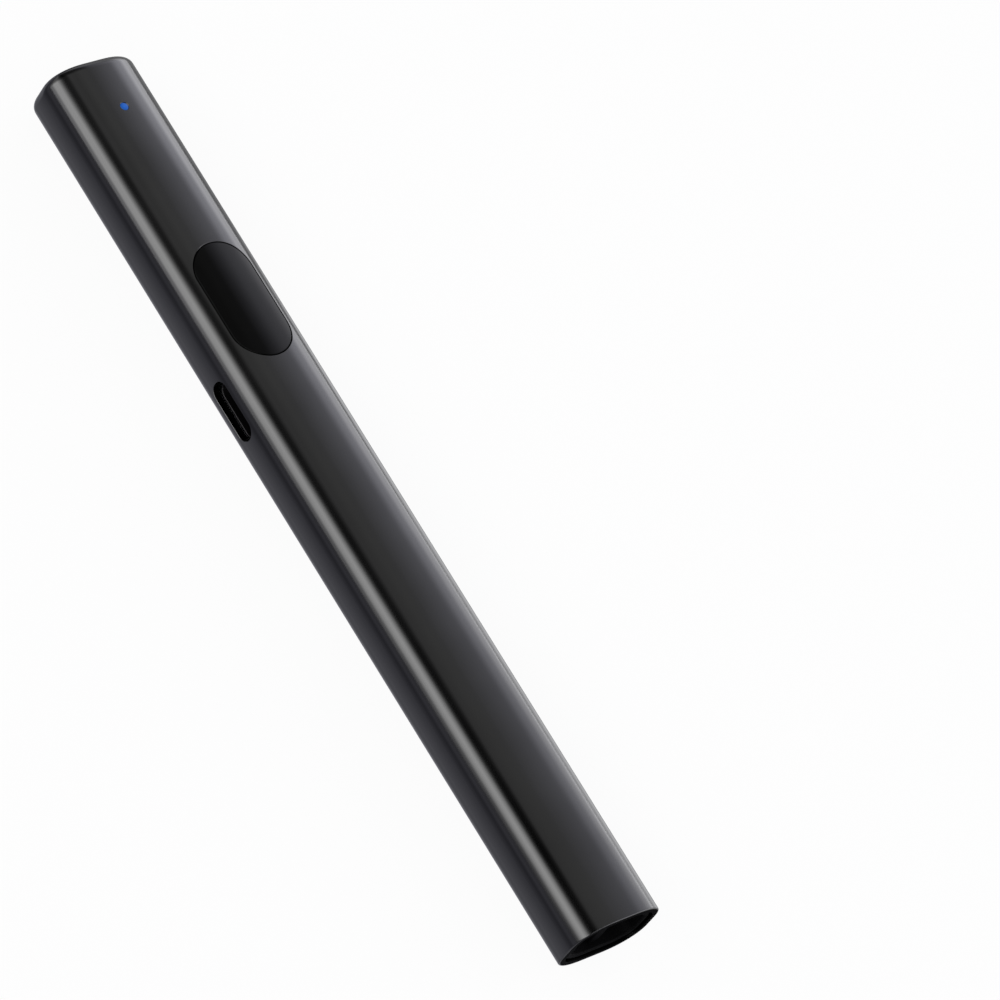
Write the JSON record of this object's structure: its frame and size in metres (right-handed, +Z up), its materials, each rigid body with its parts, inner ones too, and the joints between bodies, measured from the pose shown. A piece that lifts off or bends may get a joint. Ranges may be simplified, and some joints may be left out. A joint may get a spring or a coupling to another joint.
{
  "type": "wireless presenter",
  "caption": "Slim black metal wireless presenter with a flush oval button, side charging port, status light, front laser and a USB receiver stored in its tail.",
  "frame": {"origin": "middle of the underside, halfway along the tube", "axes": "+X to the laser end, +Y to the side with the charging port, +Z up through the button"},
  "size_m": [0.14, 0.015, 0.0108],
  "materials": {
    "black_anodised": "black anodised aluminium, fine satin",
    "gloss_black_plastic": "polished black moulding",
    "matte_black_plastic": "black moulding, light spark texture",
    "blue_light_guide": "clear acrylic light guide, lit blue",
    "clear_optic": "polished optic",
    "stamped_steel": "drawn and stamped stainless steel",
    "nickel_plated_brass": "turned, bright",
    "gold_plating": "gold flash",
    "black_board": "glass epoxy board, black solder mask",
    "chip_resin": "moulded epoxy",
    "ceramic": "sintered capacitor ceramic",
    "white_ceramic": "white ceramic",
    "frame_plastic": "grey-black moulding, ejector marks inside",
    "aluminium_pouch": "laminated foil pouch",
    "polyimide_film": "amber film circuit",
    "grey_foam": "closed-cell foam",
    "red_insulation": "silicone insulation",
    "black_insulation": "silicone insulation",
    "magnet_nickel": "nickel plated magnet"
  },
  "bodies": {
    "handset": {"body_tube": "black_anodised", "nose_plug": "matte_black_plastic", "laser_window": "clear_optic", "laser_barrel": "nickel_plated_brass", "collimating_lens": "clear_optic", "lens_retainer_ring": "nickel_plated_brass", "laser_diode": "gold_plating", "laser_driver_board": "black_board", "laser_lead_red": "red_insulation", "laser_lead_black": "black_insulation", "button_bracket": "frame_plastic", "switch_base": "chip_resin", "switch_dome": "stamped_steel", "switch_cover": "stamped_steel", "led_light_pipe": "blue_light_guide", "status_led": "white_ceramic", "led_flex": "polyimide_film", "main_board": "black_board", "usb_c_shell": "stamped_steel", "usb_c_tongue": "matte_black_plastic", "radio_chip": "chip_resin", "radio_crystal": "stamped_steel", "charger_chip": "chip_resin", "chip_antenna": "white_ceramic", "capacitor_1": "ceramic", "capacitor_2": "ceramic", "capacitor_3": "ceramic", "capacitor_4": "ceramic", "inner_frame": "frame_plastic", "board_screw_rear": "stamped_steel", "board_screw_front": "stamped_steel", "battery_cell": "aluminium_pouch", "cell_protection_board": "black_board", "battery_foam": "grey_foam", "battery_lead_red": "red_insulation", "battery_lead_black": "black_insulation", "tail_bay": "frame_plastic", "receiver_magnet": "magnet_nickel"},
    "button": {"button_cap": "gloss_black_plastic"},
    "plunger": {"switch_plunger": "matte_black_plastic"},
    "receiver": {"receiver_grip": "matte_black_plastic", "receiver_shell": "stamped_steel", "receiver_board": "black_board", "receiver_carrier": "matte_black_plastic", "receiver_chip": "chip_resin"}
  },
  "joints": [
    {"name": "button_press", "type": "slide", "parent": "handset", "child": "button", "axis": [0, 0, -1], "range_m": [0, 0.0004], "stiffness_N_per_m": 1500},
    {"name": "plunger_press", "type": "slide", "parent": "handset", "child": "plunger", "axis": [0, 0, -1], "range_m": [0, 0.0004], "deforming": ["switch_dome"]},
    {"name": "receiver_slide", "type": "slide", "parent": "handset", "child": "receiver", "axis": [-1, 0, 0], "range_m": [0, 0.02]}
  ],
  "couplings": [
    {"joint": "plunger_press", "follows": "button_press", "ratio": 1}
  ]
}
